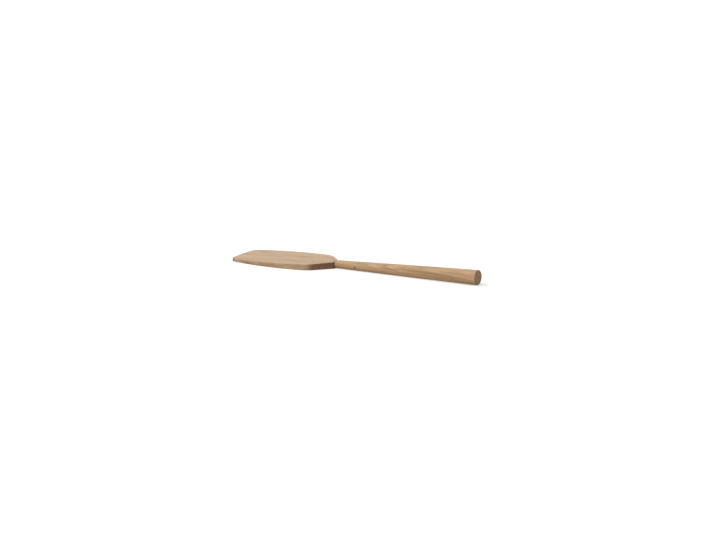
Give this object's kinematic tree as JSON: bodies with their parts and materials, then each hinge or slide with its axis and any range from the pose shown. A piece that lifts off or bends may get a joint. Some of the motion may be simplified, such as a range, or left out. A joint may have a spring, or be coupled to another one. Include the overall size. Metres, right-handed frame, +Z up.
{
  "type": "spatula",
  "caption": "Flat wooden spatula: a thin blade with rounded corners and cut shoulders, tenoned and pegged into a round tapering handle.",
  "frame": {"origin": "middle of the bounding box at its bottom, on the table that the spatula lies on", "axes": "+X along the spatula from the blade's front edge to the butt of the handle, +Y across the blade, +Z up from the table"},
  "size_m": [0.3002, 0.067, 0.0166],
  "materials": {
    "blade_wood": "oiled, long straight grain",
    "handle_wood": "oiled, turned and sanded, grain along the handle",
    "peg_wood": "oiled end grain, trimmed flush"
  },
  "bodies": {
    "root": {"blade": "blade_wood", "handle": "handle_wood", "locking_peg": "peg_wood"}
  },
  "joints": []
}
